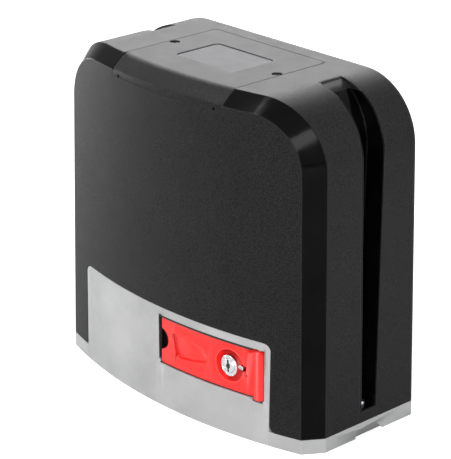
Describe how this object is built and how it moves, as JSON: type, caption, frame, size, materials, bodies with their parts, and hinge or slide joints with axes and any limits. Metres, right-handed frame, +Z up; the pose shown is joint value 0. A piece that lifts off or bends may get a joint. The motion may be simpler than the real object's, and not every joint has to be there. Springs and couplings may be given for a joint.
{
  "type": "sliding gate motor",
  "caption": "Upright drive unit for a sliding gate: arched cover on a cast base, keyed release lever in front, rack pinion at the back.",
  "frame": {"origin": "centre of the four anchor slots on the underside of the base", "axes": "+X along the gate, +Z up, -Y towards the user and +Y towards the gate, where the pinion is"},
  "size_m": [0.32, 0.1929, 0.3],
  "materials": {
    "cover_black": "fine-grained moulded plastic",
    "trim_gloss": "gloss moulded plastic",
    "badge_grey": "satin",
    "screw_steel": "zinc plated",
    "silver_casting": "silver-grey powder coat on a casting",
    "raw_aluminium": "as cast",
    "black_rubber": "matt",
    "red_plastic": "satin moulded plastic",
    "lock_chrome": "polished",
    "gear_steel": "machined",
    "gear_bronze": "machined",
    "core_steel": "laminated",
    "winding_copper": "varnished",
    "dark_plastic": "satin",
    "board_green": "solder-masked",
    "terminal_green": "moulded",
    "capacitor_grey": "satin"
  },
  "bodies": {
    "base": {"base_casting": "silver_casting", "levelling_screws": "screw_steel", "cable_grommet": "black_rubber", "lever_hinge_pin": "screw_steel", "release_spring": "screw_steel", "front_shaft_bearing": "gear_steel", "back_shaft_bearing": "gear_steel", "shaft_seal": "black_rubber", "lower_rotor_bearing": "gear_steel", "middle_rotor_bearing": "gear_steel", "upper_rotor_bearing": "gear_steel", "gear_housing": "raw_aluminium", "gear_housing_cover": "raw_aluminium", "gear_cover_screws": "screw_steel", "gear_housing_screws": "screw_steel", "motor_housing": "raw_aluminium", "stator_core": "core_steel", "stator_windings": "winding_copper", "motor_end_cap": "raw_aluminium", "motor_screws": "screw_steel", "board_tray": "dark_plastic", "tray_posts": "screw_steel", "control_board": "board_green", "terminal_blocks": "terminal_green", "board_relays": "dark_plastic", "run_capacitor": "capacitor_grey", "limit_sensor": "dark_plastic", "transformer": "winding_copper", "transformer_bolt": "screw_steel"},
    "output": {"output_shaft": "gear_steel", "worm_wheel": "gear_bronze", "output_pinion": "gear_steel", "pinion_washer": "screw_steel", "pinion_bolt": "screw_steel"},
    "rotor": {"rotor_shaft": "gear_steel", "rotor_core": "core_steel"},
    "lever": {"release_lever": "red_plastic", "lock_barrel": "lock_chrome"},
    "lock_plug_body": {"lock_plug": "lock_chrome", "lock_tongue": "screw_steel"},
    "release": {"release_yoke": "screw_steel", "clutch_pin": "screw_steel"},
    "cover": {"cover_shell": "cover_black", "left_channel_trim": "trim_gloss", "right_channel_trim": "trim_gloss", "left_cover_screw": "screw_steel", "right_cover_screw": "screw_steel"},
    "hatch": {"top_hatch": "cover_black", "badge_plate": "badge_grey", "hatch_screws": "screw_steel"}
  },
  "joints": [
    {"name": "cover_lift", "type": "slide", "parent": "base", "child": "cover", "axis": [0, 0, 1], "range_m": [0, 0.32]},
    {"name": "hatch_lift", "type": "slide", "parent": "cover", "child": "hatch", "axis": [0, 0, 1], "range_m": [0, 0.06]},
    {"name": "lever_swing", "type": "hinge", "parent": "base", "child": "lever", "pos_m": [0.1067, -0.05849, 0.0622], "axis": [0, 0, 1], "range_deg": [0, 90]},
    {"name": "key_turn", "type": "hinge", "parent": "lever", "child": "lock_plug_body", "pos_m": [0.077, -0.06697, 0.0618], "axis": [0, -1, 0], "range_deg": [0, 90]},
    {"name": "release_slide", "type": "slide", "parent": "base", "child": "release", "axis": [0, -1, 0], "range_m": [0, 0.0051]},
    {"name": "rotor_spin", "type": "hinge", "parent": "base", "child": "rotor", "pos_m": [-0.05, 0, 0.08], "axis": [0, 0, 1], "continuous": true},
    {"name": "output_spin", "type": "hinge", "parent": "base", "child": "output", "pos_m": [0, 0, 0.08], "axis": [0, 1, 0], "continuous": true}
  ],
  "couplings": [
    {"joint": "output_spin", "follows": "rotor_spin", "ratio": -0.033333},
    {"joint": "release_slide", "follows": "lever_swing", "m_per_rad": 0.0031831}
  ]
}
